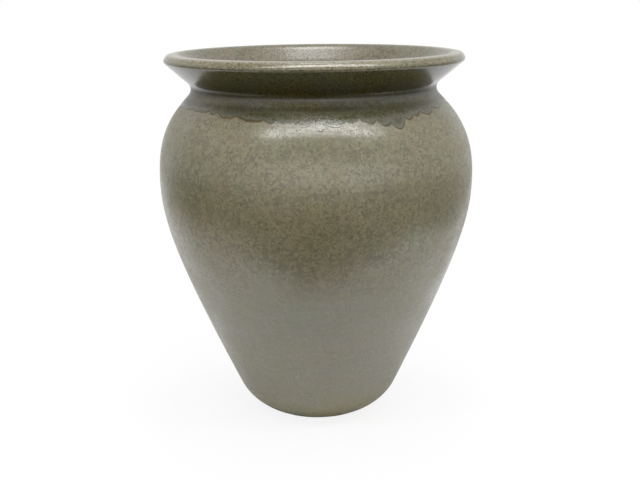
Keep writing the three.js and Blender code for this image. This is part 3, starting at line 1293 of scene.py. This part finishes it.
@dataclass
class RunCollar(VaseLayer):
    """The last coat, dipped mouth down: it starts inside, goes over the lip and the neck and ends in the run edge."""

    columns: int = 1080
    dip_inside: float = 0.024
    dip_ripple: Ripple = Ripple(0.0006, ((7, 1.0, 0.0), (19, 0.5, 2.0)))
    top_lift: float = 0.00198
    marks: ThrowingMarks = ThrowingMarks(pitch=0.0046, depth=0.00002, reach=0.01)
    edge: CoatEdge = CoatEdge(rounding=0.001, edge_thickness=0.00007, full_distance=0.04, bead_height=0.00001)
    run: RunEdge = field(default_factory=RunEdge)
    edge_millimetres: tuple[float, ...] = (0, 0.05, 0.15, 0.3, 0.5, 0.75, 1.05, 1.4, 1.9, 2.6, 3.6)
    shoulder_rows: int = 20
    mouth_spacing: float = 0.0009
    lip_reach: float = 0.003
    lip_spacing: float = 0.0004
    inside_rows: int = 22
    under_inside_rows: int = 8
    under_outside_rows: int = 30

    def coat_lift(self, distance: np.ndarray) -> np.ndarray:
        """Returns how far the coat's face stands off the clay at distances from its edge."""
        return self.body_lift + self.edge.thickness(distance, self.top_lift - self.body_lift) - self.seat

    def build(self) -> bpy.types.Object:
        """Builds and dresses the piece.

        Returns:
            The piece.
        """
        rising, falling = self.form.rising(), self.form.falling()
        angles = ring_angles(self.columns)
        hem = rising.way_at(self.form.neck_corner[1] - self.run.drop(angles))
        dip = falling.way_at(self.form.height - self.dip_inside + self.dip_ripple.at(angles))
        near = np.array(self.edge_millimetres) * MILLIMETRE
        neck = float(rising.way_at(self.form.neck_corner[1]))
        nose = float(rising.way_at(self.form.nose_corner[1]))
        shoulder = hem + near[-1] + (neck - hem - near[-1]) * np.linspace(0, 1, self.shoulder_rows)[1:, None]
        mouth = even_ways(neck, nose - self.lip_reach, self.mouth_spacing)
        lip = even_ways(mouth[-1], rising.length, self.lip_spacing)
        out = np.vstack((hem + near[:, None], shoulder, self.spread(np.concatenate((mouth[1:], lip[1:])))))
        inwards = np.linspace(0, 1, self.inside_rows)[1:, None]
        down = np.vstack(((dip - near[-1]) * inwards, dip - near[-2::-1, None]))
        under_down = np.linspace(dip - self.edge.rounding / 2, 0 * dip, self.under_inside_rows)
        under_out = np.linspace(rising.length + 0 * hem, hem + self.edge.rounding / 2, self.under_outside_rows)[1:]
        out_lift = self.coat_lift(out - hem) + self.marks.faded(out, angles, out - hem)
        lip_way = rising.length - nose
        rows = (
            (rising.lifted(out, out_lift), out - hem, out - nose),
            (falling.lifted(down, self.coat_lift(dip - down)), dip - down, lip_way + down),
            (falling.lifted(under_down, self.body_lift), dip - under_down, lip_way + under_down),
            (rising.lifted(under_out, self.body_lift), under_out - hem, under_out - nose),
        )
        section, from_edge, above_nose = (np.concatenate(stack) for stack in zip(*rows))
        traits = {Trait.EDGE_DISTANCE: from_edge, Trait.NOSE_DISTANCE: above_nose}
        piece = turned_piece("run_collar", section, traits)
        return self.dress(piece, GlossyGlazeFinish(), "collar_glaze", "collar_glaze")


@dataclass(frozen=True)
class PhotoCamera:
    """The camera at the photograph's viewing angle. Its image is 640 pixels wide."""

    image_width: float = 640.0
    image_middle: float = 320.0
    focal_pixels: float = 1046.9
    principal_x: float = 316.78
    sensor_width: float = 36.0
    distance: float = 1.0
    height: float = 0.4103
    pitch: float = 0.2385
    roll: float = -0.011

    def build(self) -> None:
        """Makes the camera and gives it to the scene."""
        data = bpy.data.cameras.new("photo_camera")
        data.sensor_width = self.sensor_width
        data.lens = self.focal_pixels / self.image_width * self.sensor_width
        data.shift_x = (self.image_middle - self.principal_x) / self.image_width
        camera = bpy.data.objects.new("photo_camera", data)
        aim = Euler((UPRIGHT - self.pitch, 0, 0)).to_matrix() @ Euler((0, 0, self.roll)).to_matrix()
        camera.matrix_world = aim.to_4x4()
        camera.location = (0, -self.distance, self.height)
        bpy.context.scene.collection.objects.link(camera)
        bpy.context.scene.camera = camera


@dataclass(frozen=True)
class Softbox:
    """A soft lamp that hangs in a direction from the vase and faces it."""

    name: str
    azimuth: float
    elevation: float
    distance: float
    width: float
    depth: float
    power: float
    target_height: float = 0.2

    def build(self) -> None:
        """Hangs the lamp."""
        data = bpy.data.lights.new(self.name, "AREA")
        data.shape = "RECTANGLE"
        data.size, data.size_y = self.width, self.depth
        data.energy = self.power
        lamp = bpy.data.objects.new(self.name, data)
        across = math.cos(self.elevation)
        away = Vector((math.sin(self.azimuth) * across, -math.cos(self.azimuth) * across, math.sin(self.elevation)))
        lamp.rotation_mode = "QUATERNION"
        lamp.rotation_quaternion = away.to_track_quat("Z", "Y")
        lamp.location = Vector((0, 0, self.target_height)) + away * self.distance
        bpy.context.scene.collection.objects.link(lamp)


@dataclass(frozen=True)
class Table:
    """The pale table, whose front edge is just out of the picture."""

    left: float = -0.42
    back_left: float = -1.1
    right: float = 0.5
    front: float = -0.255
    back: float = 1.2
    colour: Colour = (0.8, 0.8, 0.8)
    white_share: float = 0.86

    def build(self) -> None:
        """Lays the table, which the camera sees as nearly white with a faint shadow."""
        mesh = bpy.data.meshes.new("pale_table")
        corners = [(self.left, self.front, 0), (self.right, self.front, 0),
                   (self.right, self.back, 0), (self.back_left, self.back, 0)]
        mesh.from_pydata(corners, [], [(0, 1, 2, 3)])
        table = bpy.data.objects.new("pale_table", mesh)
        bpy.context.scene.collection.objects.link(table)
        material, graph = new_material("pale_table")
        diffuse = graph.node("ShaderNodeBsdfDiffuse", {"Color": self.colour})
        white = graph.node("ShaderNodeEmission", {"Color": WHITE, "Strength": 1.0})
        camera = graph.node("ShaderNodeLightPath").outputs["Is Camera Ray"]
        share = graph.times(camera, self.white_share)
        mixed = graph.node("ShaderNodeMixShader", {0: share, 1: diffuse.outputs[0], 2: white.outputs[0]})
        graph.node("ShaderNodeOutputMaterial", {"Surface": mixed.outputs[0]})
        mesh.materials.append(material)


@dataclass(frozen=True)
class SideLevels:
    """How bright one band of the light tent is on each side of the vase."""

    front: float
    right: float
    back: float
    left: float


@dataclass(frozen=True)
class LightTent:
    """The white tent round the table, in bands of brightness, with a dark gap below the camera."""

    below: SideLevels = SideLevels(front=0.28, right=0.22, back=1.1, left=0.12)
    low: SideLevels = SideLevels(front=2.11, right=0.99, back=0.85, left=0.75)
    middle: SideLevels = SideLevels(front=0.9, right=0.89, back=0.9, left=1.05)
    high: SideLevels = SideLevels(front=0.4, right=1.25, back=1.2, left=0.7)
    top: float = 1.75
    gap_sides: tuple[float, float] = (0.18, 0.48)
    edges: tuple[tuple[float, float], ...] = ((-0.2, 0.0), (0.2, 0.45), (0.55, 0.75), (0.85, 0.97))

    def side(self, graph: Graph, component: Socket, sign: float) -> Socket:
        """Returns how far a level direction points to one side, squared, so that the four sides add up to 1."""
        towards = graph.math("MAXIMUM", graph.times(component, sign), 0.0)
        return graph.times(towards, towards)

    def mixed(self, graph: Graph, share: Socket, first: Socket, second: Socket | float) -> Socket:
        """Mixes two brightnesses by a share of the second."""
        return graph.math("MULTIPLY_ADD", second, share, graph.times(first, graph.math("SUBTRACT", 1.0, share)))

    def build(self) -> None:
        """Makes the world, which the camera sees as white."""
        world = bpy.data.worlds.new("light_tent")
        world.use_nodes = True
        bpy.context.scene.world = world
        graph = Graph(world.node_tree)
        direction = graph.node("ShaderNodeTexCoord").outputs["Generated"]
        level = graph.vector("NORMALIZE", graph.vector("MULTIPLY", direction, FLATTENED))
        x, y = graph.axis(level, 0), graph.axis(level, 1)
        sides = (self.side(graph, y, -1.0), self.side(graph, x, 1.0),
                 self.side(graph, y, 1.0), self.side(graph, x, -1.0))
        gap = graph.span(graph.math("ABSOLUTE", x), *self.gap_sides)
        bands = []
        for band in (self.below, self.low, self.middle, self.high):
            shares = [graph.times(side, value) for side, value in zip(sides, astuple(band))]
            if band is self.below:
                shares[0] = graph.times(shares[0], gap)
            bands.append(graph.plus(graph.plus(*shares[:2]), graph.plus(*shares[2:])))
        brightness = bands[0]
        for (start, end), band in zip(self.edges, (*bands[1:], self.top)):
            brightness = self.mixed(graph, graph.span(graph.axis(direction, 2), start, end), brightness, band)
        camera = graph.node("ShaderNodeLightPath").outputs["Is Camera Ray"]
        strength = self.mixed(graph, camera, brightness, 1.0)
        background = graph.node("ShaderNodeBackground", {"Color": WHITE, "Strength": strength})
        graph.node("ShaderNodeOutputWorld", {"Surface": background.outputs[0]})


@dataclass(frozen=True)
class Studio:
    """The table, the light tent and the two soft lamps: one over the camera, one over the back of the table."""

    table: Table = Table()
    tent: LightTent = LightTent()
    key: Softbox = Softbox("key_softbox", azimuth=math.radians(6), elevation=math.radians(62), distance=1.6,
                           width=2.1, depth=0.2, power=13.7)
    back: Softbox = Softbox("back_softbox", azimuth=math.radians(176), elevation=math.radians(78), distance=1.6,
                            width=0.45, depth=0.32, power=4.2)

    def build(self) -> None:
        """Builds the whole studio."""
        self.table.build()
        self.tent.build()
        self.key.build()
        self.back.build()
        bpy.context.scene.view_settings.view_transform = "Standard"


def main() -> None:
    """Builds the vase, the camera and the studio, and reports each piece."""
    logging.basicConfig(level=logging.INFO, format="%(name)s: %(message)s")
    PhotoCamera().build()
    for part in (ThrownClay(), FirstCoat(), PouredLiner(), RunCollar()):
        piece = part.build()
        LOG.info("%s has %d faces", piece.name, len(piece.data.polygons))
    Studio().build()


if __name__ == "__main__":
    main()
